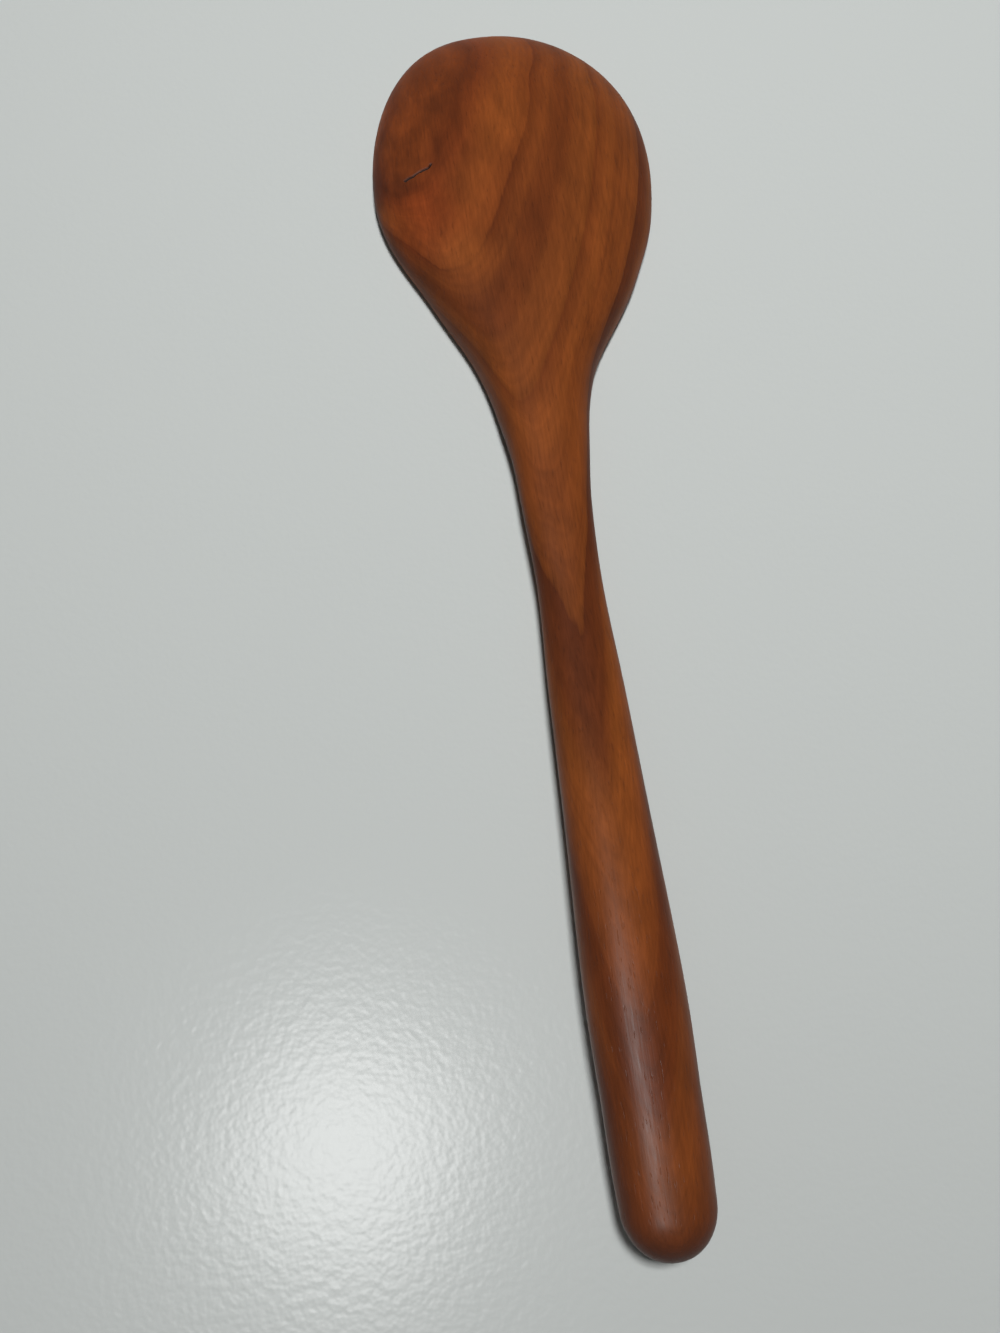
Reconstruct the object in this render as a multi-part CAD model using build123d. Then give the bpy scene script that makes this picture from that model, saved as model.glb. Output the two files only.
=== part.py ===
from build123d import *
from build123d.topology.shape_core import SkipClean
import os
from math import cos, pi, sin

# A wooden spoon carved from solid wood, lying face down: its rim and its grip touch the ground.
# +Y runs from the grip's end to the bowl's tip, +X is to the right seen from above, +Z is up.
# The origin is on the ground, in the middle of the spoon's length and of its bowl's width.

# Lengths along the spoon, in millimetres
handle_length = 153.0      # grip's end to the neck, the narrowest place
shoulder_length = 105.0    # neck to the bowl's widest place
tip_length = 42.0          # bowl's widest place to its tip
grip_end_length = 12.0     # the round end of the grip

# Widths
grip_width = 23.0
neck_width = 15.8
bowl_width = 71.5
bowl_shift = 1.5           # how far the bowl's middle lies right of the handle's line
tip_shift = 4.0            # how far the tip lies left of the bowl's middle

# Heights above the ground
grip_height = 21.0
neck_height = 13.0
bowl_height = 15.0
belt_height = 2.4          # the bowl's widest line
neck_arch = 0.9            # the gap under the neck
rim_undercut = 4.1         # how far the bowl's round flank aims below the ground, planed off there
plane_overrun = 10.0       # how far the plane cut reaches past the wood

# The hollow that the bowl is scooped out with
hollow_depth = 9.0
rim_width = 4.2            # the bowl's widest line to the hollow's mouth
hollow_sink = 4.0          # how far below the ground the scoop is widest, which slopes its walls
rim_ease = 0.6             # rounding of the rim's two edges

# Handle: place along it from the grip's end, then width and height from the neck's to the grip's
handle_shares = (
    (0.078, 0.82, 0.90),
    (0.140, 0.91, 0.96),
    (0.220, 0.93, 0.99),
    (0.320, 1.00, 1.00),
    (0.430, 0.92, 0.96),
    (0.530, 0.75, 0.86),
    (0.640, 0.57, 0.68),
    (0.740, 0.43, 0.46),
    (0.840, 0.28, 0.22),
    (0.930, 0.08, 0.06),
    (1.000, 0.00, 0.00),
)
# Shoulder: place along it from the neck, left half width, right half width and height from the
# neck's to the bowl's, then how far the widest line has sunk to the belt and the flank to the undercut
shoulder_shares = (
    (0.10, 0.015, 0.005, 0.00, 0.02, 0.01),
    (0.20, 0.035, 0.030, 0.02, 0.12, 0.02),
    (0.30, 0.055, 0.080, 0.10, 0.35, 0.05),
    (0.38, 0.105, 0.125, 0.20, 0.60, 0.14),
    (0.45, 0.155, 0.185, 0.32, 0.76, 0.34),
    (0.51, 0.215, 0.265, 0.44, 0.86, 0.56),
    (0.57, 0.300, 0.395, 0.56, 0.92, 0.74),
    (0.63, 0.415, 0.545, 0.68, 0.96, 0.88),
    (0.69, 0.535, 0.680, 0.78, 0.98, 0.96),
    (0.75, 0.650, 0.785, 0.87, 1.00, 1.00),
    (0.82, 0.795, 0.895, 0.94, 1.00, 1.00),
    (0.90, 0.930, 0.965, 0.98, 1.00, 1.00),
    (1.00, 1.000, 1.000, 1.00, 1.00, 1.00),
)
plane_start_share = 0.36   # where along the shoulder the plane cut starts
mouth_start_share = 0.56   # where along the shoulder the hollow's mouth starts

# Where the outer faces are parted across the spoon, besides the grip's end, neck and widest place
shoulder_seam_share = 0.45
tip_seam_share = 0.76

# How full each rounded outline is: 2 is an ellipse and more is squarer
handle_fullness = 2.2
neck_fullness = 2.5
bowl_fullness = 2.35
tip_fullness = 2.1
hollow_fullness = 2.1
hollow_left_fullness = 1.7
hollow_right_fullness = 2.0

# Sections of the lofts
tip_shift_fade = 3         # the higher, the closer to the tip the leftward shift starts
half_section_steps = 10
grip_end_steps = 5
tip_steps = 9
hollow_steps = 9           # on each side of the widest place

grip_end_y = -(handle_length + shoulder_length + tip_length) / 2
neck_y = grip_end_y + handle_length
widest_y = neck_y + shoulder_length
tip_y = widest_y + tip_length


def blend(start, end, share):
    return start + (end - start) * share


def spread(along, fullness):
    """How wide a rounded end is, as a share of its root, at a place from its root (0) to its tip (1)."""
    return (1 - along ** fullness) ** (1 / fullness)


def rounded(angle, fullness):
    """A point at this angle on the rounded outline that reaches 1 to each side, up and down."""
    reach = (abs(cos(angle)) ** fullness + abs(sin(angle)) ** fullness) ** (-1 / fullness)
    return reach * cos(angle), reach * sin(angle)


def half_section(y, middle, left, right, belt, rise, fullness):
    """The half of a section over its widest line, or under it where rise is negative."""
    points = []
    for step in range(half_section_steps + 1):
        across, upward = rounded(pi * step / half_section_steps, fullness)
        half_width = right if across > 0 else left
        points.append((middle + across * half_width, y, belt + upward * rise))
    upright = Vector(0, 0, rise * pi / half_section_steps)
    return Edge.make_spline(
        points,
        tangents=[upright, -upright],
        parameters=[float(step) for step in range(half_section_steps + 1)],
        scale=False,
    )


def section(y, left, right, top, belt, bottom, fullness, middle=-bowl_shift):
    """A section across the spoon: left and right are its half widths from the line at middle."""
    over = half_section(y, middle, left, right, belt, top - belt, fullness)
    under = half_section(y, middle, left, right, belt, bottom - belt, fullness)
    return Wire([over, under])


def handle_sizes(width_share, height_share):
    half_width = blend(neck_width, grip_width, width_share) / 2
    top = blend(neck_height, grip_height, height_share)
    bottom = blend(neck_arch, 0, height_share)
    return half_width, half_width, top, (top + bottom) / 2, bottom


def shoulder_sizes(left_share, right_share, height_share, belt_share, undercut_share):
    left = blend(neck_width / 2, bowl_width / 2 - bowl_shift, left_share)
    right = blend(neck_width / 2, bowl_width / 2 + bowl_shift, right_share)
    top = blend(neck_height, bowl_height, height_share)
    belt = blend((neck_height + neck_arch) / 2, belt_height, belt_share)
    bottom = blend(neck_arch, -rim_undercut, undercut_share)
    return left, right, top, belt, bottom


def grip_end_sections():
    left, right, top, belt, bottom = handle_sizes(*handle_shares[0][1:])
    sections = [Vertex(-bowl_shift, grip_end_y, belt)]
    for step in range(1, grip_end_steps):
        angle = pi / 2 * step / grip_end_steps
        y = grip_end_y + grip_end_length * (1 - cos(angle))
        size = sin(angle)
        top_now = blend(belt, top, size)
        bottom_now = blend(belt, bottom, size)
        sections.append(section(y, left * size, right * size, top_now, belt, bottom_now, handle_fullness))
    return sections


def handle_sections():
    sections = []
    for place_share, *shares in handle_shares:
        y = grip_end_y + handle_length * place_share
        sections.append(section(y, *handle_sizes(*shares), handle_fullness))
    return sections


def shoulder_sections():
    sections = []
    for place_share, *shares in shoulder_shares:
        y = neck_y + shoulder_length * place_share
        fullness = blend(neck_fullness, bowl_fullness, shares[0])
        sections.append(section(y, *shoulder_sizes(*shares), fullness))
    return sections


def tip_sections():
    left, right, top, belt, bottom = shoulder_sizes(*shoulder_shares[-1][1:])
    sections = []
    for step in range(tip_steps - 1, 0, -1):
        along, size = rounded(pi / 2 * step / tip_steps, tip_fullness)
        middle = -tip_shift * along ** tip_shift_fade - bowl_shift * size
        sections.append(section(
            widest_y + tip_length * along,
            left * size,
            right * size,
            blend(belt, top, size),
            belt,
            blend(belt, bottom, size),
            bowl_fullness,
            middle,
        ))
    sections.append(Vertex(-tip_shift, tip_y, belt))
    return sections


def outer_form():
    """The whole spoon in the round, in faces short enough to be meshed evenly."""
    sections = grip_end_sections() + handle_sections() + shoulder_sections() + tip_sections()
    faces = Solid.make_loft(sections).faces()
    seams = (
        grip_end_y + grip_end_length,
        neck_y,
        neck_y + shoulder_length * shoulder_seam_share,
        widest_y,
        widest_y + tip_length * tip_seam_share,
    )
    for y in seams:
        across = Plane((0, y, 0), z_dir=(0, 1, 0))
        faces = [panel for face in faces for panel in face.split(across, keep=Keep.ALL)]
    return Solid(Shell(faces))


def shavings():
    """What is planed off under the bowl, which leaves its rim flat."""
    start_y = neck_y + shoulder_length * plane_start_share
    length = tip_y - start_y + plane_overrun
    depth = rim_undercut + plane_overrun
    block = Box(bowl_width + 2 * plane_overrun, length, depth)
    return Pos(0, start_y + length / 2, -depth / 2) * block


def hollow_section(y, left, right, size, shift):
    rise = (hollow_depth + hollow_sink) * size
    return section(
        y, left, right, rise - hollow_sink, -hollow_sink, -rise - hollow_sink, hollow_fullness, -shift
    )


def hollow():
    """The egg that the bowl is scooped out with, widest below the ground."""
    mouth_share = spread(hollow_sink / (hollow_depth + hollow_sink), hollow_fullness)
    left = (bowl_width / 2 - bowl_shift - rim_width) / mouth_share
    right = (bowl_width / 2 + bowl_shift - rim_width) / mouth_share
    near = shoulder_length * (1 - mouth_start_share) / mouth_share
    far = (tip_length - rim_width) / mouth_share
    sections = [Vertex(-bowl_shift, widest_y - near, -hollow_sink)]
    for step in range(hollow_steps - 1, -1, -1):
        angle = pi / 2 * step / hollow_steps
        along = sin(angle)
        left_now = left * spread(along, hollow_left_fullness)
        right_now = right * spread(along, hollow_right_fullness)
        sections.append(hollow_section(widest_y - near * along, left_now, right_now, cos(angle), bowl_shift))
    for step in range(1, hollow_steps):
        angle = pi / 2 * step / hollow_steps
        along = sin(angle)
        size = cos(angle)
        shift = tip_shift * along ** tip_shift_fade + bowl_shift * size
        sections.append(hollow_section(widest_y + far * along, left * size, right * size, size, shift))
    sections.append(Vertex(-tip_shift, widest_y + far, -hollow_sink))
    return Solid.make_loft(sections)


def rim(spoon):
    return spoon.faces().filter_by(GeomType.PLANE).sort_by(SortBy.AREA)[-1]


def make_spoon():
    with SkipClean():
        spoon = outer_form() - shavings() - hollow()
    spoon = spoon.fillet(rim_ease, rim(spoon).inner_wires()[0].edges())
    return spoon.fillet(rim_ease, rim(spoon).outer_wire().edges())


os.makedirs("parts", exist_ok=True)
export_step(make_spoon(), "parts/spoon.step")
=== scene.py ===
from math import pi, radians

import bmesh
import bpy
import numpy as np
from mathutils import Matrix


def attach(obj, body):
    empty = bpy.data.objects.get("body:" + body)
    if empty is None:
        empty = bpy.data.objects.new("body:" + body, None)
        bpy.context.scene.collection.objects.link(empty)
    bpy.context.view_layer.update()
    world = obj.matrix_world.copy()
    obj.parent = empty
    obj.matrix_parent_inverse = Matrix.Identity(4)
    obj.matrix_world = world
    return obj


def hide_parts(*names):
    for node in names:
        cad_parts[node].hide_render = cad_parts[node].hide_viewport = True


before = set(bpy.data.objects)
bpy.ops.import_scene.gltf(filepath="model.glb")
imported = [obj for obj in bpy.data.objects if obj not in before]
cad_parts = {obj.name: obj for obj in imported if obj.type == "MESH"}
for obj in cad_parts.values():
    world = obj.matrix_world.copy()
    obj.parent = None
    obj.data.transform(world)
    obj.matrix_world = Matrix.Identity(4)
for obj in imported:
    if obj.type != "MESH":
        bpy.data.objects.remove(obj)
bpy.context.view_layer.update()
mm = 0.001


def hexToLinear(text):
    channels = [int(text[i:i + 2], 16) / 255 for i in (1, 3, 5)]
    linear = [c / 12.92 if c <= 0.04045 else ((c + 0.055) / 1.055) ** 2.4 for c in channels]
    return (*linear, 1.0)


def addNode(tree, kind, settings=None, feeds=None):  # feeds: socket to a value, a socket or a node
    node = tree.nodes.new(kind)
    for name, value in (settings or {}).items():
        setattr(node, name, value)
    for socket, feed in (feeds or {}).items():
        if isinstance(feed, bpy.types.Node):
            feed = next(output for output in feed.outputs if output.enabled)
        if isinstance(feed, bpy.types.NodeSocket):
            tree.links.new(feed, node.inputs[socket])
        else:
            node.inputs[socket].default_value = feed
    return node


# The blank: the spoon in the round, before the plane and the scoop

spoonBlank = {  # millimetres; shares run from the neck's size to the grip's or the bowl's
    "gripEndY": -150.0, "neckY": 3.0, "widestY": 108.0, "tipY": 150.0,
    "gripEndLength": 12.0,
    "gripWidth": 23.0, "neckWidth": 15.8, "bowlWidth": 71.5,
    "bowlShift": 1.5, "tipShift": 4.0, "tipShiftFade": 3,
    "gripHeight": 21.0, "neckHeight": 13.0, "bowlHeight": 15.0,
    "beltHeight": 2.4, "neckArch": 0.9, "rimUndercut": 4.1,
    "handleFullness": 2.2, "neckFullness": 2.5, "bowlFullness": 2.35, "tipFullness": 2.1,
    "handleShares": (  # place from the grip's end, width, height
        (0.078, 0.82, 0.90), (0.140, 0.91, 0.96), (0.220, 0.93, 0.99), (0.320, 1.00, 1.00),
        (0.430, 0.92, 0.96), (0.530, 0.75, 0.86), (0.640, 0.57, 0.68), (0.740, 0.43, 0.46),
        (0.840, 0.28, 0.22), (0.930, 0.08, 0.06), (1.000, 0.00, 0.00),
    ),
    "shoulderShares": (  # place from the neck, left, right, height, belt, undercut
        (0.10, 0.015, 0.005, 0.00, 0.03, 0.01), (0.20, 0.035, 0.030, 0.02, 0.16, 0.02),
        (0.30, 0.055, 0.080, 0.10, 0.42, 0.05), (0.38, 0.105, 0.125, 0.20, 0.72, 0.14),
        (0.45, 0.155, 0.185, 0.32, 0.92, 0.34), (0.51, 0.215, 0.265, 0.44, 1.04, 0.56),
        (0.57, 0.300, 0.395, 0.56, 1.11, 0.74), (0.63, 0.415, 0.545, 0.68, 1.14, 0.88),
        (0.69, 0.535, 0.680, 0.78, 1.14, 0.96), (0.75, 0.650, 0.785, 0.87, 1.12, 1.00),
        (0.82, 0.795, 0.895, 0.94, 1.08, 1.00), (0.90, 0.930, 0.965, 0.98, 1.03, 1.00),
        (1.00, 1.000, 1.000, 1.00, 1.00, 1.00),
    ),
    "endSteps": 12, "tipSteps": 18,
    "planeFadeY": (42.0, 58.0),  # where the plane's cut starts and where it has its full depth
    "rings": 480, "topColumns": 80, "flankColumns": 14, "rimColumns": 8, "hollowColumns": 18,
    "leastSize": 0.01,  # keeps the rings at both ends open
}
scoop = {  # the hollow, millimetres
    "depth": 9.0, "sink": 4.0, "rimWidth": 4.2, "mouthStartY": 61.8,
    "fullness": 2.1, "nearLeftFullness": 1.7, "nearRightFullness": 2.0,
    "leastRim": 0.25, "mouthLimits": (0.2, 0.97),  # shares of the flank and of the rim
    "fallOff": 20.0, "noCut": -40.0,               # its height far from it, and where it can't reach
}


def rounded(angle, fullness):
    reach = (np.abs(np.cos(angle)) ** fullness + np.abs(np.sin(angle)) ** fullness) ** (-1 / fullness)
    return reach * np.cos(angle), reach * np.sin(angle)


def spread(along, fullness):
    return np.clip(1 - np.clip(along, 0, 1) ** fullness, 0, 1) ** (1 / fullness)


def blend(start, end, share):
    return start + (end - start) * share


def smoothThrough(places, values, at):  # natural cubic curve through the stations
    gaps = np.diff(places)
    slopes = np.diff(values) / gaps
    system = np.eye(len(places))
    bends = np.zeros(len(places))
    for i in range(1, len(places) - 1):
        system[i, i - 1:i + 2] = gaps[i - 1], 2 * (gaps[i - 1] + gaps[i]), gaps[i]
        bends[i] = 6 * (slopes[i] - slopes[i - 1])
    bends = np.linalg.solve(system, bends)
    i = np.clip(np.searchsorted(places, at) - 1, 0, len(gaps) - 1)
    after = (at - places[i]) / gaps[i]
    before = 1 - after
    bow = (before ** 3 - before) * bends[i] + (after ** 3 - after) * bends[i + 1]
    return before * values[i] + after * values[i + 1] + bow * gaps[i] ** 2 / 6


def blankStations(b):  # y, left, right, rise over the belt, drop under it, belt, middle, fullness
    stations = []
    neckHalf = b["neckWidth"] / 2
    leftHalf = b["bowlWidth"] / 2 - b["bowlShift"]
    rightHalf = b["bowlWidth"] / 2 + b["bowlShift"]

    def handle(widthShare, heightShare):
        half = blend(b["neckWidth"], b["gripWidth"], widthShare) / 2
        top = blend(b["neckHeight"], b["gripHeight"], heightShare)
        bottom = blend(b["neckArch"], 0, heightShare)
        return half, half, (top - bottom) / 2, (top - bottom) / 2, (top + bottom) / 2

    first = handle(*b["handleShares"][0][1:])
    for step in range(b["endSteps"]):
        angle = pi / 2 * step / b["endSteps"]
        y = b["gripEndY"] + b["gripEndLength"] * (1 - np.cos(angle))
        stations.append((y, *[size * np.sin(angle) for size in first[:4]], first[4],
                         -b["bowlShift"], b["handleFullness"]))
    for place, *shares in b["handleShares"]:
        y = blend(b["gripEndY"], b["neckY"], place)
        stations.append((y, *handle(*shares), -b["bowlShift"], b["handleFullness"]))
    for place, left, right, height, belt, undercut in b["shoulderShares"]:
        y = blend(b["neckY"], b["widestY"], place)
        beltNow = blend((b["neckHeight"] + b["neckArch"]) / 2, b["beltHeight"], belt)
        stations.append((
            y, blend(neckHalf, leftHalf, left), blend(neckHalf, rightHalf, right),
            blend(b["neckHeight"], b["bowlHeight"], height) - beltNow,
            beltNow - blend(b["neckArch"], -b["rimUndercut"], undercut),
            beltNow, -b["bowlShift"], blend(b["neckFullness"], b["bowlFullness"], left),
        ))
    for step in range(b["tipSteps"] - 1, -1, -1):
        along, size = rounded(pi / 2 * step / b["tipSteps"], b["tipFullness"])
        size = max(size, 0)
        stations.append((
            blend(b["widestY"], b["tipY"], along), leftHalf * size, rightHalf * size,
            (b["bowlHeight"] - b["beltHeight"]) * size, (b["beltHeight"] + b["rimUndercut"]) * size,
            b["beltHeight"], -b["tipShift"] * along ** b["tipShiftFade"] - b["bowlShift"] * size,
            b["bowlFullness"],
        ))
    return np.array(stations)


def scoopAt(y, b, s):  # the egg's middle, left and right half widths and rise over its widest line
    mouthShare = spread(s["sink"] / (s["depth"] + s["sink"]), s["fullness"])
    left = (b["bowlWidth"] / 2 - b["bowlShift"] - s["rimWidth"]) / mouthShare
    right = (b["bowlWidth"] / 2 + b["bowlShift"] - s["rimWidth"]) / mouthShare
    near = (b["widestY"] - s["mouthStartY"]) / mouthShare
    far = (b["tipY"] - b["widestY"] - s["rimWidth"]) / mouthShare
    if y < b["widestY"]:
        along = (b["widestY"] - y) / near
        rise = spread(along, 2)
        return (-b["bowlShift"], left * spread(along, s["nearLeftFullness"]),
                right * spread(along, s["nearRightFullness"]), rise * (s["depth"] + s["sink"]))
    along = (y - b["widestY"]) / far
    rise = spread(along, 2)
    middle = -b["tipShift"] * along ** b["tipShiftFade"] - b["bowlShift"] * rise
    return middle, left * rise, right * rise, rise * (s["depth"] + s["sink"])


def blankRing(sizes, b, s):  # one section's points, counter-clockwise from the right of the belt
    y, left, right, rise, drop, belt, middle, fullness = sizes
    across, up = rounded(np.linspace(0, pi, b["topColumns"] + 1), fullness)
    topX = middle + across * np.where(across > 0, right, left)
    topZ = belt + up * rise
    sideCount = b["flankColumns"] + b["rimColumns"] + b["hollowColumns"]
    eggMiddle, eggLeft, eggRight, eggRise = scoopAt(y, b, s)
    fadeStart, fadeEnd = b["planeFadeY"]
    planed = np.clip((y - fadeStart) / (fadeEnd - fadeStart), 0, 1)
    planed = planed ** 2 * (3 - 2 * planed)
    mouthShare = spread(s["sink"] / eggRise, s["fullness"]) if eggRise > s["sink"] else 0.0
    sides = []
    for half, mouth in ((left, middle - eggMiddle + eggLeft * mouthShare),
                        (right, eggMiddle - middle + eggRight * mouthShare)):
        rimShare = max(spread(min(belt / drop, 1), fullness), s["leastRim"])  # where the plane's cut ends
        plainAngle = pi / 2 * b["flankColumns"] / sideCount
        rimAngle = blend(plainAngle, np.arctan2(spread(rimShare, fullness), rimShare), planed)
        rimX = rounded(rimAngle, fullness)[0] * half
        plainMouth = rounded(pi / 2 * (sideCount - b["hollowColumns"]) / sideCount, fullness)[0] * half
        mouthX = blend(plainMouth, np.clip(mouth, *[share * rimX for share in s["mouthLimits"]]), planed)
        flankX, flankZ = rounded(np.linspace(0, rimAngle, b["flankColumns"] + 1)[1:], fullness)
        rimSteps = (1 - np.cos(pi * np.arange(1, b["rimColumns"] + 1) / b["rimColumns"])) / 2
        hollowSteps = np.cos(pi / 2 * np.arange(1, b["hollowColumns"] + 1) / b["hollowColumns"])
        flatX = np.concatenate((blend(rimX, mouthX, rimSteps), mouthX * hollowSteps))
        sides.append((np.concatenate((flankX * half, flatX)),
                      np.concatenate((flankZ, spread(flatX / half, fullness)))))
    (leftX, leftZ), (rightX, rightZ) = sides
    underX = middle + np.concatenate((-leftX, rightX[-2::-1]))
    underZ = belt - drop * np.concatenate((leftZ, rightZ[-2::-1]))
    half = np.maximum(np.where(underX < eggMiddle, eggLeft, eggRight), b["leastSize"])
    off = np.abs(underX - eggMiddle) / half
    scoopZ = np.where(off < 1, eggRise * spread(off, s["fullness"]), s["fallOff"] * (1 - off)) - s["sink"]
    x = np.concatenate((topX, underX))
    z = np.concatenate((topZ, underZ))
    points = np.column_stack((x, np.full(len(x), y), z))
    under = np.concatenate((np.zeros(len(topX)), np.ones(len(underX))))
    cut = np.concatenate((np.full(len(topX), s["noCut"]), scoopZ))
    return points, under, under * planed, cut


def makeBlank(b, s):
    stations = blankStations(b)
    steps = np.hypot(np.diff(stations[:, 0]), np.diff((stations[:, 1] + stations[:, 2]) / 2))
    places = np.concatenate(([0], np.cumsum(steps)))
    at = np.linspace(0, places[-1], b["rings"])
    sizes = np.column_stack([smoothThrough(places, column, at) for column in stations.T])
    sizes[:, 1:5] = np.maximum(sizes[:, 1:5], b["leastSize"])
    rings = [blankRing(size, b, s) for size in sizes[1:-1]]
    ends = ((-b["bowlShift"], b["gripEndY"], stations[0, 5]), (-b["tipShift"], b["tipY"], b["beltHeight"]))
    points = np.vstack([ends[0], *[ring[0] for ring in rings], ends[1]]) * mm
    columns = len(rings[0][0])
    faces = []
    for k in range(len(rings) - 1):
        low, high = 1 + k * columns, 1 + (k + 1) * columns
        for j in range(columns):
            following = (j + 1) % columns
            faces.append((low + j, high + j, high + following, low + following))
    lastRing = 1 + (len(rings) - 1) * columns
    for j in range(columns):
        following = (j + 1) % columns
        faces.append((0, 1 + j, 1 + following))
        faces.append((len(points) - 1, lastRing + following, lastRing + j))
    mesh = bpy.data.meshes.new("spoonBlank")
    mesh.from_pydata(points.tolist(), [], faces)
    for name, index, scale in (("under", 1, 1), ("planed", 2, 1), ("scoopHeight", 3, mm)):
        values = np.concatenate(([0], *[ring[index] * scale for ring in rings], [0]))
        mesh.attributes.new(name, "FLOAT", "POINT").data.foreach_set("value", values)
    return mesh


# The crack beside the knot: the blank gets finer faces there, so that the groove is real

crack = {  # millimetres
    "start": (-27.2, 107.4, 11.6), "end": (-20.0, 109.5, 13.5),
    "width": 0.42, "depth": 0.5,
    "wander": 1.8, "wandersPerMetre": 700.0, "points": 14,
    "reach": 1.8, "cuts": 3,  # of the finer faces
}


def refineNear(mesh, c):
    fine = bmesh.new()
    fine.from_mesh(mesh)
    a, b = np.array(c["start"]) * mm, np.array(c["end"]) * mm
    near = []
    for edge in fine.edges:
        middle = np.array((edge.verts[0].co + edge.verts[1].co) / 2)
        along = np.clip(np.dot(middle - a, b - a) / np.dot(b - a, b - a), 0, 1)
        if np.linalg.norm(middle - a - (b - a) * along) < c["reach"] * mm:
            near.append(edge)
    bmesh.ops.subdivide_edges(fine, edges=near, cuts=c["cuts"], use_grid_fill=True)
    corners = [face for face in fine.faces if len(face.verts) > 4]
    bmesh.ops.triangulate(fine, faces=corners)
    fine.to_mesh(mesh)
    fine.free()


# Carving: plane, scoop, hand finish and crack, as one node tree on the blank

carving = {"rimEase": 1.6, "waveDepth": 0.22, "waveWidth": 16.0, "waveLength": 42.0}  # millimetres


def carvingTree(c):
    tree = bpy.data.node_groups.new("spoonCarving", "GeometryNodeTree")
    face = tree.interface
    face.new_socket("Geometry", in_out="INPUT", socket_type="NodeSocketGeometry")
    for name in ("Rim Ease", "Wave Depth", "Wave Width", "Wave Length", "Crack Width", "Crack Depth",
                 "Crack Wander"):
        face.new_socket(name, in_out="INPUT", socket_type="NodeSocketFloat")
    for name in ("Crack Start", "Crack End"):
        face.new_socket(name, in_out="INPUT", socket_type="NodeSocketVector")
    face.new_socket("Wood", in_out="INPUT", socket_type="NodeSocketMaterial")
    face.new_socket("Geometry", in_out="OUTPUT", socket_type="NodeSocketGeometry")
    given = addNode(tree, "NodeGroupInput").outputs

    position = addNode(tree, "GeometryNodeInputPosition")
    parts = addNode(tree, "ShaderNodeSeparateXYZ", None, {0: position})
    under, planed, hollow = [
        addNode(tree, "GeometryNodeInputNamedAttribute", {"data_type": "FLOAT"}, {"Name": name})
        for name in ("under", "planed", "scoopHeight")
    ]
    ease = addNode(tree, "ShaderNodeMath", {"operation": "MULTIPLY"}, {0: given["Rim Ease"], 1: planed})
    flat = addNode(tree, "ShaderNodeMath", {"operation": "SMOOTH_MAX"},
                   {0: parts.outputs["Z"], 1: 0.0, 2: ease})
    scooped = addNode(tree, "ShaderNodeMath", {"operation": "SMOOTH_MAX"}, {0: flat, 1: hollow, 2: ease})
    cutPlace = addNode(tree, "ShaderNodeCombineXYZ", None,
                       {0: parts.outputs["X"], 1: parts.outputs["Y"], 2: scooped})
    isUnder = addNode(tree, "FunctionNodeCompare", {"data_type": "FLOAT", "operation": "GREATER_THAN"},
                      {0: under, 1: 0.5})
    cut = addNode(tree, "GeometryNodeSetPosition", None,
                  {"Geometry": given["Geometry"], "Selection": isUnder, "Position": cutPlace})

    # knife and sandpaper leave long shallow waves
    waveSize = addNode(tree, "ShaderNodeCombineXYZ", None,
                       {0: given["Wave Width"], 1: given["Wave Length"], 2: given["Wave Width"]})
    waveSpace = addNode(tree, "ShaderNodeVectorMath", {"operation": "DIVIDE"}, {0: position, 1: waveSize})
    waves = addNode(tree, "ShaderNodeTexNoise", None,
                    {"Vector": waveSpace, "Scale": 1.0, "Detail": 1.0, "Roughness": 0.4})
    waveCut = addNode(tree, "ShaderNodeMath", {"operation": "MULTIPLY"},
                      {0: waves.outputs["Fac"], 1: given["Wave Depth"]})
    facing = addNode(tree, "GeometryNodeInputNormal")
    inward = addNode(tree, "ShaderNodeVectorMath", {"operation": "SCALE"}, {0: facing, "Scale": -1.0})
    waveOffset = addNode(tree, "ShaderNodeVectorMath", {"operation": "SCALE"}, {0: inward, "Scale": waveCut})
    waved = addNode(tree, "GeometryNodeSetPosition", None, {"Geometry": cut, "Offset": waveOffset})

    # the crack: a groove along a short wandering line
    line = addNode(tree, "GeometryNodeMeshLine", {"mode": "END_POINTS"},
                   {"Count": c["points"], "Start Location": given["Crack Start"],
                    "Offset": given["Crack End"]})
    noise = addNode(tree, "ShaderNodeTexNoise", None,
                    {"Vector": position, "Scale": c["wandersPerMetre"], "Detail": 2.0})
    centred = addNode(tree, "ShaderNodeVectorMath", {"operation": "SUBTRACT"},
                      {0: noise.outputs["Color"], 1: (0.5, 0.5, 0.5)})
    level = addNode(tree, "ShaderNodeCombineXYZ", None, {0: given["Crack Wander"], 1: given["Crack Wander"]})
    wander = addNode(tree, "ShaderNodeVectorMath", {"operation": "MULTIPLY"}, {0: centred, 1: level})
    wandering = addNode(tree, "GeometryNodeSetPosition", None, {"Geometry": line, "Offset": wander})
    away = addNode(tree, "GeometryNodeProximity", {"target_element": "EDGES"}, {0: wandering})
    groove = addNode(tree, "ShaderNodeMapRange", {"interpolation_type": "SMOOTHSTEP"},
                     {"Value": away.outputs["Distance"], "From Min": given["Crack Width"], "From Max": 0.0,
                      "To Max": given["Crack Depth"]})
    share = addNode(tree, "ShaderNodeMath", {"operation": "DIVIDE"}, {0: groove, 1: given["Crack Depth"]})
    marked = addNode(tree, "GeometryNodeStoreNamedAttribute", {"data_type": "FLOAT", "domain": "POINT"},
                     {"Geometry": waved, "Name": "crackShare", "Value": share})
    grooveOffset = addNode(tree, "ShaderNodeVectorMath", {"operation": "SCALE"}, {0: inward, "Scale": groove})
    cracked = addNode(tree, "GeometryNodeSetPosition", None, {"Geometry": marked, "Offset": grooveOffset})

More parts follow.
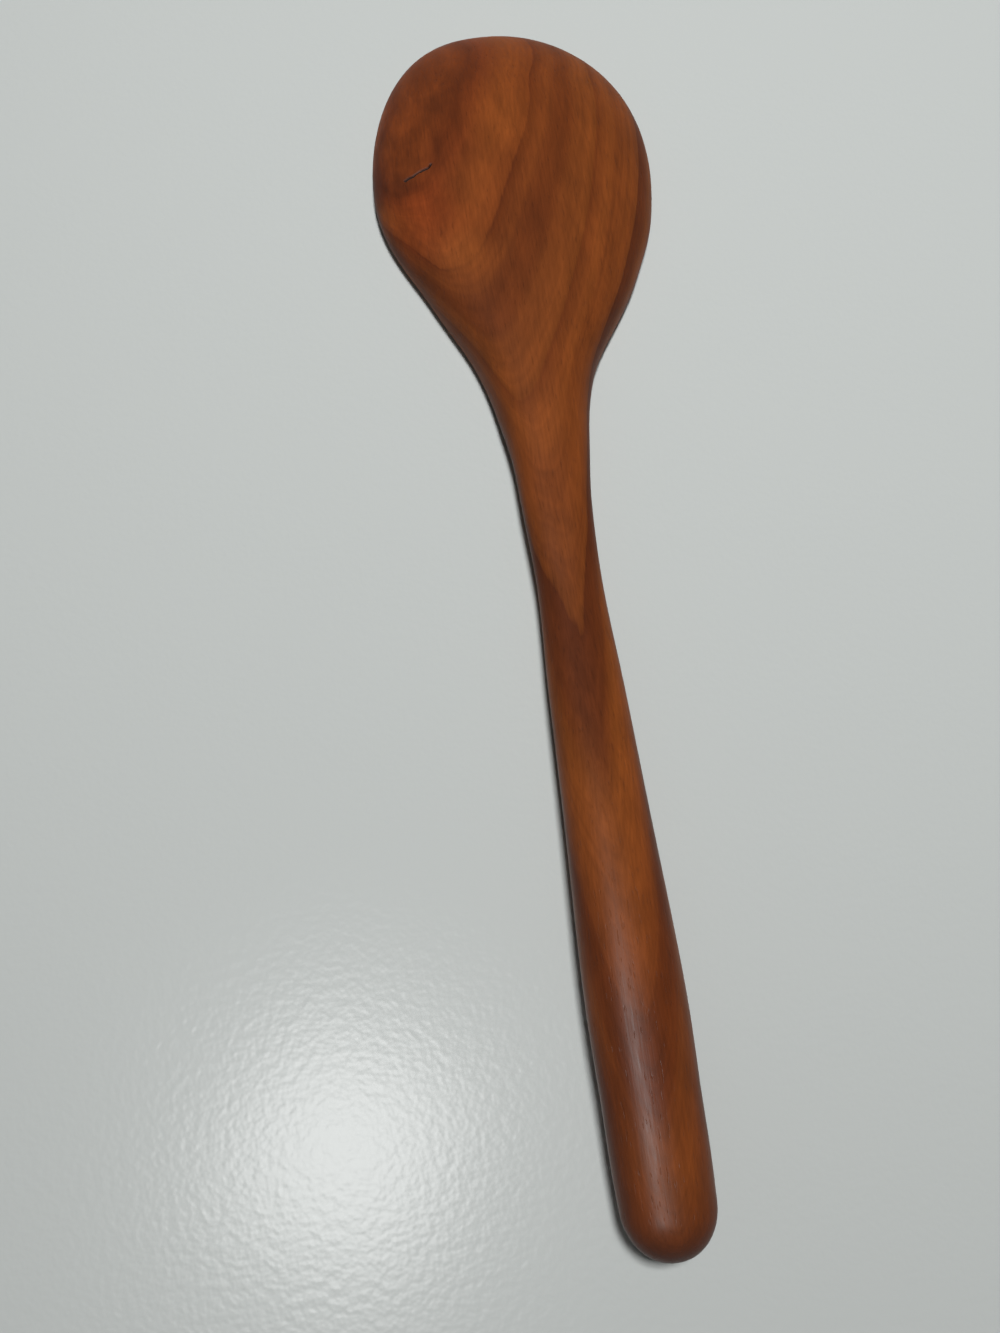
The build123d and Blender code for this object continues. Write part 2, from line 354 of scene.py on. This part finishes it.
    smooth = addNode(tree, "GeometryNodeSetShadeSmooth", None, {"Geometry": cracked})
    real = addNode(tree, "GeometryNodeRealizeInstances", None, {"Geometry": smooth})
    dressed = addNode(tree, "GeometryNodeSetMaterial", None, {"Geometry": real, "Material": given["Wood"]})
    addNode(tree, "NodeGroupOutput", None, {0: dressed})
    return tree


def carve(mesh, wood, t, c):  # with the tool's sizes and the crack's
    rough = bpy.data.objects.new("spoonRough", mesh)
    bpy.context.scene.collection.objects.link(rough)
    modifier = rough.modifiers.new("carving", "NODES")
    modifier.node_group = carvingTree(c)
    sizes = {
        "Rim Ease": t["rimEase"] * mm, "Wave Depth": t["waveDepth"] * mm,
        "Wave Width": t["waveWidth"] * mm, "Wave Length": t["waveLength"] * mm,
        "Crack Width": c["width"] * mm, "Crack Depth": c["depth"] * mm, "Crack Wander": c["wander"] * mm,
        "Crack Start": [place * mm for place in c["start"]],
        "Crack End": [place * mm for place in c["end"]],
        "Wood": wood,
    }
    for item in modifier.node_group.interface.items_tree:
        if item.name in sizes:
            modifier[item.identifier] = sizes[item.name]
    carved = bpy.data.meshes.new_from_object(rough.evaluated_get(bpy.context.evaluated_depsgraph_get()))
    bpy.data.objects.remove(rough)
    piece = bpy.data.objects.new("carvedSpoon", carved)
    bpy.context.scene.collection.objects.link(piece)
    return piece


# Cherry, carved, sanded fine and oiled: the oil deepens its red-brown and leaves a low satin sheen.
# Growth rings show as soft bands with a few sharp edges, fibres as streaks, pores as short dark flecks.

cherry = {  # places and sizes in millimetres
    "rings": (  # place across the rings, colour there
        (-16.0, "#562810"), (-12.0, "#673213"), (-9.0, "#6c3614"), (-6.0, "#6c3614"), (-4.5, "#602d10"),
        (-2.5, "#58280d"), (-0.6, "#5d2b0f"), (0.2, "#6a3414"), (3.6, "#773d18"), (6.8, "#763d17"),
        (7.8, "#6f3915"), (8.7, "#643112"), (9.5, "#592a10"), (11.85, "#50240d"), (12.0, "#673413"),
        (13.3, "#6e3715"), (14.2, "#723a16"), (14.5, "#6d3715"), (15.4, "#713916"), (16.8, "#6e3715"),
        (17.1, "#6a3514"), (17.5, "#6e3715"), (18.6, "#753c17"), (19.8, "#713916"), (20.9, "#683313"),
        (21.4, "#5f2d10"), (21.6, "#6c3714"), (22.8, "#733b17"), (25.0, "#6d3715"), (25.9, "#622f11"),
        (27.7, "#5f2d10"), (28.2, "#673213"),
    ),
    "heart": (  # the same for the wood round the knot
        (28.8, "#6b3514"), (29.7, "#673213"), (30.2, "#622e10"), (30.5, "#58280e"), (30.7, "#6f3614"),
        (32.0, "#763b17"), (33.2, "#793d18"), (34.4, "#6f3615"), (35.6, "#672f12"), (36.6, "#5a280e"),
        (38.0, "#6a3213"), (40.0, "#502208"),
    ),
    # how the rings lie: slope, places with the change of slope past them, value at the origin
    "rise": (0.227, ((-12.0, -0.08), (108.0, 0.045), (130.0, 0.18)), 0.96),  # along the spoon
    "handleLean": (0.12, ((-0.8, -0.47),), 0.1),                             # across the handle
    "handleLeftX": -5.2, "handleLeftY": (-75.0, -45.0), "handleLeftLean": (0.20, -0.42),  # more on its left
    # across the bowl, where they turn down on the left, from the shoulder to the widest place
    "bowlY": (0.0, 60.0), "middleLean": -0.33, "rightX": 14.0, "rightLean": -0.45,
    "turnY": (40.0, 85.0), "turnX": (-5.0, -22.0), "leftY": (65.0, 88.0), "leftLean": (0.30, -0.10),
    "drift": 1.0, "driftSize": (14.0, 40.0, 14.0),  # slow bends of the rings
    "fray": 0.4, "fraySize": (0.8, 7.0, 0.8),       # fibres along the ring edges
    "knot": (-36.0, 111.0, 8.0), "knotReach": 22.0, "knotSwell": 4.0,
    "patches": (  # middle, reach, colour, strength
        ((-24.0, 96.0, 12.5), 15.0, "#7c3411", 0.60),     # reddish wood beside the knot
        ((-14.5, 84.5, 13.6), 10.0, "#87471c", 0.75),     # pale patch under its edge
        ((-1.0, 119.0, 13.8), 14.0, "#82441b", 0.45),     # pale patch at the top
        ((-2.0, 40.0, 13.2), 15.0, "#84451c", 0.45),      # and on the neck
        ((2.5, 92.0, 15.0), 12.0, "#54260d", 0.50),       # dark band in the middle
        ((13.0, 119.0, 12.5), 11.0, "#5a2a0f", 0.35),
        ((-16.5, 126.0, 11.8), 5.0, "#4c220c", 0.55),     # dark mottle at the top
        ((-11.0, 133.0, 11.0), 6.5, "#52250d", 0.50),
        ((-35.0, 110.0, 5.5), 11.0, "#411a0b", 0.80),     # the knot
        ((-28.0, 106.8, 11.0), 4.5, "#451e0b", 0.60),     # dark wedge that the crack runs out of
        ((-9.0, -112.0, 14.0), 20.0, "#4a1b07", 0.45),    # painted shade: the grip's left side, away from the light, darkened
        ((5.0, -131.0, 15.0), 13.0, "#7b3f17", 0.45),     # and its paler right side
        ((-2.0, -155.0, 13.0), 22.0, "#2e0e01", 0.95),    # painted shade on the end grain of the rounded end, which faces away from the light
    ),
    "noiseSpan": (0.3, 0.7), "noiseRoughness": 0.6,       # what a noise mostly fills of its range
    "bandSize": (0.55, 45.0), "bandTone": 0.10,           # across and along the rings
    "fibreSize": (0.5, 9.0, 0.5), "fibreTone": 0.13,      # real fibres are finer than a pixel
    "poreSize": (0.5, 3.6, 0.5), "poreTone": 0.18,        # real pores are 0.1 across, too fine to show
    "poreSpan": (0.36, 0.26),
    "mottleSize": (5.0, 13.0, 5.0), "mottleTone": 0.15,
    "cloudSize": (3.0, 6.5, 3.0), "cloudTone": 0.22,      # the figure near the knot
    "cloudReach": (42.0, 8.0), "cloudSpan": (0.35, 0.65), "cloudChange": (-1.0, 0.6),
    # the crack's near-black is painted shade inside its groove
    "crack": "#1a0904", "crackSpan": (0.1, 0.6),
    "wearY": (-70.0, 50.0), "gripRoughness": 0.41, "bowlRoughness": 0.52, "roughnessSpread": 0.12,
    "ior": 1.5, "gloss": 0.12, "grainRelief": 0.028,
}


def bend(tree, line, value, side, spot, change):  # changes a line's slope on one side of a spot
    past = addNode(tree, "ShaderNodeMath", {"operation": "SUBTRACT"}, {0: value, 1: spot})
    past = addNode(tree, "ShaderNodeMath", {"operation": side}, {0: past, 1: 0.0})
    return addNode(tree, "ShaderNodeMath", {"operation": "MULTIPLY_ADD"}, {0: past, 1: change, 2: line})


def bentLine(tree, value, slope, bends, offset):
    line = addNode(tree, "ShaderNodeMath", {"operation": "MULTIPLY_ADD"}, {0: value, 1: slope, 2: offset})
    for spot, change in bends:
        line = bend(tree, line, value, "MAXIMUM", spot, change)
    return line


def grownPlace(tree, c):  # the place in millimetres, moved by the rings' drift and their frayed edges
    inMetres = addNode(tree, "ShaderNodeTexCoord").outputs["Object"]
    place = addNode(tree, "ShaderNodeVectorMath", {"operation": "SCALE"}, {0: inMetres, "Scale": 1 / mm})
    grown = place
    for name in ("drift", "fray"):
        space = addNode(tree, "ShaderNodeVectorMath", {"operation": "DIVIDE"},
                        {0: place, 1: c[name + "Size"]})
        noise = addNode(tree, "ShaderNodeTexNoise", None, {"Vector": space, "Scale": 1.0, "Detail": 2.0})
        centred = addNode(tree, "ShaderNodeVectorMath", {"operation": "SUBTRACT"},
                          {0: noise.outputs["Color"], 1: (0.5, 0.5, 0.5)})
        shift = addNode(tree, "ShaderNodeVectorMath", {"operation": "SCALE"}, {0: centred, "Scale": c[name]})
        grown = addNode(tree, "ShaderNodeVectorMath", {"operation": "ADD"}, {0: grown, 1: shift})
    return grown


def acrossRings(tree, c, x, y, z, toKnot):
    rise = bentLine(tree, y, *c["rise"])
    rise = addNode(tree, "ShaderNodeMath", {"operation": "ADD"}, {0: rise, 1: z})
    fading = {}  # values that change along the spoon
    for name, span, ends in (("turn", "turnY", "turnX"), ("left", "leftY", "leftLean"),
                             ("handleLeft", "handleLeftY", "handleLeftLean")):
        fading[name] = addNode(tree, "ShaderNodeMapRange", None,
                               {"Value": y, "From Min": c[span][0], "From Max": c[span][1],
                                "To Min": c[ends][0], "To Max": c[ends][1]})
    handleLean = bentLine(tree, x, *c["handleLean"])
    handleLean = bend(tree, handleLean, x, "MINIMUM", c["handleLeftX"], fading["handleLeft"])
    middle = addNode(tree, "ShaderNodeClamp", None, {"Value": x, "Min": fading["turn"], "Max": c["rightX"]})
    bowlLean = addNode(tree, "ShaderNodeMath", {"operation": "MULTIPLY"}, {0: middle, 1: c["middleLean"]})
    bowlLean = bend(tree, bowlLean, x, "MINIMUM", fading["turn"], fading["left"])
    bowlLean = bend(tree, bowlLean, x, "MAXIMUM", c["rightX"], c["rightLean"])
    onBowl = addNode(tree, "ShaderNodeMapRange", {"interpolation_type": "SMOOTHSTEP"},
                     {"Value": y, "From Min": c["bowlY"][0], "From Max": c["bowlY"][1]})
    lean = addNode(tree, "ShaderNodeMix", {"data_type": "FLOAT"}, {0: onBowl, 2: handleLean, 3: bowlLean})
    swell = addNode(tree, "ShaderNodeMapRange", {"interpolation_type": "SMOOTHSTEP"},
                    {"Value": toKnot, "From Min": c["knotReach"], "From Max": 0.0, "To Max": c["knotSwell"]})
    ring = addNode(tree, "ShaderNodeMath", {"operation": "ADD"}, {0: rise, 1: lean})
    return addNode(tree, "ShaderNodeMath", {"operation": "ADD"}, {0: ring, 1: swell})


def ringColour(tree, c, ring, grown):
    tones = []
    for stops in (c["rings"], c["heart"]):
        first, last = stops[0][0], stops[-1][0]
        along = addNode(tree, "ShaderNodeMapRange", None,
                        {"Value": ring, "From Min": first, "From Max": last})
        ramp = addNode(tree, "ShaderNodeValToRGB", None, {0: along})
        stripes = ramp.color_ramp.elements
        while len(stripes) < len(stops):
            stripes.new(0.5)
        for stripe, (spot, colour) in zip(stripes, stops):
            stripe.position = (spot - first) / (last - first)
        for stripe, (spot, colour) in zip(stripes, stops):
            stripe.color = hexToLinear(colour)
        tones.append(ramp)
    isHeart = addNode(tree, "ShaderNodeMapRange", None,
                      {"Value": ring, "From Min": c["rings"][-1][0], "From Max": c["heart"][0][0]})
    tone = addNode(tree, "ShaderNodeMix", {"data_type": "RGBA"}, {0: isHeart, 6: tones[0], 7: tones[1]})
    for spot, reach, colour, strength in c["patches"]:
        away = addNode(tree, "ShaderNodeVectorMath", {"operation": "DISTANCE"}, {0: grown, 1: spot})
        share = addNode(tree, "ShaderNodeMapRange", {"interpolation_type": "SMOOTHSTEP"},
                        {"Value": away.outputs["Value"], "From Min": reach, "From Max": 0.0,
                         "To Max": strength})
        tone = addNode(tree, "ShaderNodeMix", {"data_type": "RGBA"},
                       {0: share, 6: tone.outputs[2], 7: hexToLinear(colour)})
    return tone.outputs[2]


def grainFields(tree, c, grown, ring, y):  # noises from 0 to 1, each drawn out along the spoon
    fields = {}
    for name, detail in (("mottle", 2.0), ("cloud", 2.0), ("fibre", 3.0), ("pore", 1.0)):
        space = addNode(tree, "ShaderNodeVectorMath", {"operation": "DIVIDE"},
                        {0: grown, 1: c[name + "Size"]})
        noise = addNode(tree, "ShaderNodeTexNoise", None,
                        {"Vector": space, "Scale": 1.0, "Detail": detail, "Roughness": c["noiseRoughness"]})
        fields[name] = noise.outputs["Fac"]
    across = addNode(tree, "ShaderNodeMath", {"operation": "DIVIDE"}, {0: ring, 1: c["bandSize"][0]})
    along = addNode(tree, "ShaderNodeMath", {"operation": "DIVIDE"}, {0: y, 1: c["bandSize"][1]})
    space = addNode(tree, "ShaderNodeCombineXYZ", None, {0: across, 1: along})
    bands = addNode(tree, "ShaderNodeTexNoise", None, {"Vector": space, "Scale": 1.0, "Detail": 3.0})
    fields["band"] = bands.outputs["Fac"]
    pores = addNode(tree, "ShaderNodeMapRange", {"interpolation_type": "SMOOTHSTEP"},
                    {"Value": fields["pore"], "From Min": c["poreSpan"][0], "From Max": c["poreSpan"][1]})
    fields["pore"] = pores.outputs["Result"]
    return fields


def grainLight(tree, c, fields, toKnot):  # how much lighter or darker than its ring the wood is
    nearKnot = addNode(tree, "ShaderNodeMapRange", {"interpolation_type": "SMOOTHSTEP"},
                       {"Value": toKnot, "From Min": c["cloudReach"][0], "From Max": c["cloudReach"][1],
                        "To Max": c["cloudTone"]})
    cloudy = addNode(tree, "ShaderNodeMapRange", None,
                     {"Value": fields["cloud"], "From Min": c["cloudSpan"][0], "From Max": c["cloudSpan"][1],
                      "To Min": c["cloudChange"][0], "To Max": c["cloudChange"][1]})
    light = addNode(tree, "ShaderNodeMath", {"operation": "MULTIPLY_ADD"}, {0: nearKnot, 1: cloudy, 2: 1.0})
    for name, (low, high), darkest, brightest in (
        ("mottle", c["noiseSpan"], 1 - c["mottleTone"], 1 + c["mottleTone"]),
        ("band", c["noiseSpan"], 1 - c["bandTone"], 1 + c["bandTone"]),
        ("fibre", c["noiseSpan"], 1 - c["fibreTone"], 1 + c["fibreTone"]),
        ("pore", (0.0, 1.0), 1.0, 1 - c["poreTone"]),
    ):
        factor = addNode(tree, "ShaderNodeMapRange", None,
                         {"Value": fields[name], "From Min": low, "From Max": high,
                          "To Min": darkest, "To Max": brightest})
        light = addNode(tree, "ShaderNodeMath", {"operation": "MULTIPLY"}, {0: light, 1: factor})
    return light


def cherryMaterial(c):
    material = bpy.data.materials.new("oiledCherry")
    material.use_nodes = True
    tree = material.node_tree
    tree.nodes.clear()
    grown = grownPlace(tree, c)
    x, y, z = addNode(tree, "ShaderNodeSeparateXYZ", None, {0: grown}).outputs
    toKnot = addNode(tree, "ShaderNodeVectorMath", {"operation": "DISTANCE"}, {0: grown, 1: c["knot"]})
    toKnot = toKnot.outputs["Value"]
    ring = acrossRings(tree, c, x, y, z, toKnot)
    tone = ringColour(tree, c, ring, grown)
    fields = grainFields(tree, c, grown, ring, y)
    light = grainLight(tree, c, fields, toKnot)
    lit = addNode(tree, "ShaderNodeVectorMath", {"operation": "SCALE"}, {0: tone, "Scale": light})
    # painted shade: the crack's groove is darkened to near-black
    crackShare = addNode(tree, "ShaderNodeAttribute", {"attribute_name": "crackShare"}).outputs["Fac"]
    crackShade = addNode(tree, "ShaderNodeMapRange", None,
                      {"Value": crackShare, "From Min": c["crackSpan"][0], "From Max": c["crackSpan"][1]})
    colour = addNode(tree, "ShaderNodeMix", {"data_type": "RGBA"},
                     {0: crackShade, 6: lit, 7: hexToLinear(c["crack"])})

    # hands have polished the grip, washing has dulled the bowl
    wear = addNode(tree, "ShaderNodeMapRange", {"interpolation_type": "SMOOTHSTEP"},
                   {"Value": y, "From Min": c["wearY"][0], "From Max": c["wearY"][1],
                    "To Min": c["gripRoughness"], "To Max": c["bowlRoughness"]})
    uneven = addNode(tree, "ShaderNodeMapRange", None,
                     {"Value": fields["fibre"], "From Min": c["noiseSpan"][0], "From Max": c["noiseSpan"][1],
                      "To Min": -c["roughnessSpread"] / 2, "To Max": c["roughnessSpread"] / 2})
    roughness = addNode(tree, "ShaderNodeMath", {"operation": "ADD"}, {0: wear, 1: uneven})
    grain = addNode(tree, "ShaderNodeMath", {"operation": "SUBTRACT"},
                    {0: fields["fibre"], 1: fields["pore"]})
    relief = addNode(tree, "ShaderNodeBump", None, {"Height": grain, "Distance": c["grainRelief"] * mm})
    surface = addNode(tree, "ShaderNodeBsdfPrincipled", None,
                      {"Base Color": colour.outputs[2], "Roughness": roughness, "IOR": c["ior"],
                       "Specular IOR Level": c["gloss"], "Normal": relief})
    addNode(tree, "ShaderNodeOutputMaterial", None, {"Surface": surface})
    return material


blank = makeBlank(spoonBlank, scoop)
refineNear(blank, crack)
print("blank:", len(blank.vertices), "points")
spoon = carve(blank, cherryMaterial(cherry), carving, crack)
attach(spoon, "root")
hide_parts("spoon")
print("carved spoon:", len(spoon.data.polygons), "faces")

# Table, light and camera

table = {  # metres, the paint's relief in millimetres
    "colour": "#c1c5c3", "roughness": 0.22, "gloss": 0.06, "size": 6.0, "gap": 0.0002,
    "fade": (0.26, 0.9),  # where the table turns into the backdrop
    "rollerSize": 2.0, "relief": 0.06,
}
backdrop = "#c9cdca"


def addBackdrop(tree, surface, share):  # seen by the camera and in reflections, but lights nothing
    rays = addNode(tree, "ShaderNodeLightPath").outputs
    seen = rays["Is Camera Ray"]
    for name in ("Is Glossy Ray", "Is Transmission Ray"):
        seen = addNode(tree, "ShaderNodeMath", {"operation": "MAXIMUM"}, {0: seen, 1: rays[name]})
    seen = addNode(tree, "ShaderNodeMath", {"operation": "MULTIPLY"}, {0: seen, 1: share})
    glow = addNode(tree, "ShaderNodeEmission", None, {"Color": hexToLinear(backdrop), "Strength": 1.0})
    return addNode(tree, "ShaderNodeMixShader", None, {0: seen, 1: surface, 2: glow})


def makeTable(t):
    half = t["size"] / 2
    corners = ((-half, -half), (half, -half), (half, half), (-half, half))
    mesh = bpy.data.meshes.new("table")
    mesh.from_pydata([(x, y, -t["gap"]) for x, y in corners], [], [(0, 1, 2, 3)])
    top = bpy.data.objects.new("table", mesh)
    bpy.context.scene.collection.objects.link(top)
    paint = bpy.data.materials.new("satinTablePaint")  # rolled satin paint: pale, with a fine orange peel
    paint.use_nodes = True
    tree = paint.node_tree
    tree.nodes.clear()
    place = addNode(tree, "ShaderNodeTexCoord").outputs["Object"]
    peel = addNode(tree, "ShaderNodeTexNoise", None,
                   {"Vector": place, "Scale": 1 / (t["rollerSize"] * mm), "Detail": 1.0})
    relief = addNode(tree, "ShaderNodeBump", None,
                     {"Height": peel.outputs["Fac"], "Distance": t["relief"] * mm})
    surface = addNode(tree, "ShaderNodeBsdfPrincipled", None,
                      {"Base Color": hexToLinear(t["colour"]), "Roughness": t["roughness"],
                       "Specular IOR Level": t["gloss"], "Normal": relief})
    away = addNode(tree, "ShaderNodeVectorMath", {"operation": "LENGTH"}, {0: place}).outputs["Value"]
    far = addNode(tree, "ShaderNodeMapRange", {"interpolation_type": "SMOOTHSTEP"},
                  {"Value": away, "From Min": t["fade"][0], "From Max": t["fade"][1]})
    addNode(tree, "ShaderNodeOutputMaterial", None, {"Surface": addBackdrop(tree, surface, far)})
    mesh.materials.append(paint)


studio = {  # direction, distance and width in metres, watts
    "softbox": ((0.075, 0.26, 1.0), 0.95, 0.14, 8.7),    # lights the scene, kept out of reflections
    "ceiling": ((-0.23, -0.36, 1.0), 1.6, 0.30, 29.0),   # only the sheen that it leaves
    "surround": ("#f4f2ee", 0.07),
}


def makeLights(s):
    for name in ("softbox", "ceiling"):
        direction, distance, width, watts = s[name]
        data = bpy.data.lights.new(name, "AREA")
        data.size = width
        data.energy = watts
        lamp = bpy.data.objects.new(name, data)
        lamp.location = np.array(direction) / np.linalg.norm(direction) * distance
        lamp.rotation_euler = (-lamp.location).to_track_quat("-Z", "Y").to_euler()
        lamp.visible_glossy = name == "ceiling"
        lamp.visible_diffuse = name == "softbox"
        bpy.context.scene.collection.objects.link(lamp)
    world = bpy.data.worlds.new("studio")
    world.use_nodes = True
    tree = world.node_tree
    tree.nodes.clear()
    colour, strength = s["surround"]
    glow = addNode(tree, "ShaderNodeBackground", None, {"Color": hexToLinear(colour), "Strength": strength})
    addNode(tree, "ShaderNodeOutputWorld", None, {"Surface": addBackdrop(tree, glow, 1.0)})
    bpy.context.scene.world = world


view = {  # metres, degrees, millimetres
    "place": (-0.02567, -0.04972, 0.25069), "turn": (8.0, 0.0, -8.125), "lens": 28.09, "nearest": 0.01,
}


def makeCamera(v):
    data = bpy.data.cameras.new("view")
    data.lens = v["lens"]
    data.clip_start = v["nearest"]
    camera = bpy.data.objects.new("view", data)
    camera.location = v["place"]
    camera.rotation_euler = [radians(angle) for angle in v["turn"]]
    bpy.context.scene.collection.objects.link(camera)
    bpy.context.scene.camera = camera


makeTable(table)
makeLights(studio)
makeCamera(view)
bpy.context.scene.view_settings.view_transform = "Standard"
print("table, lights and camera")
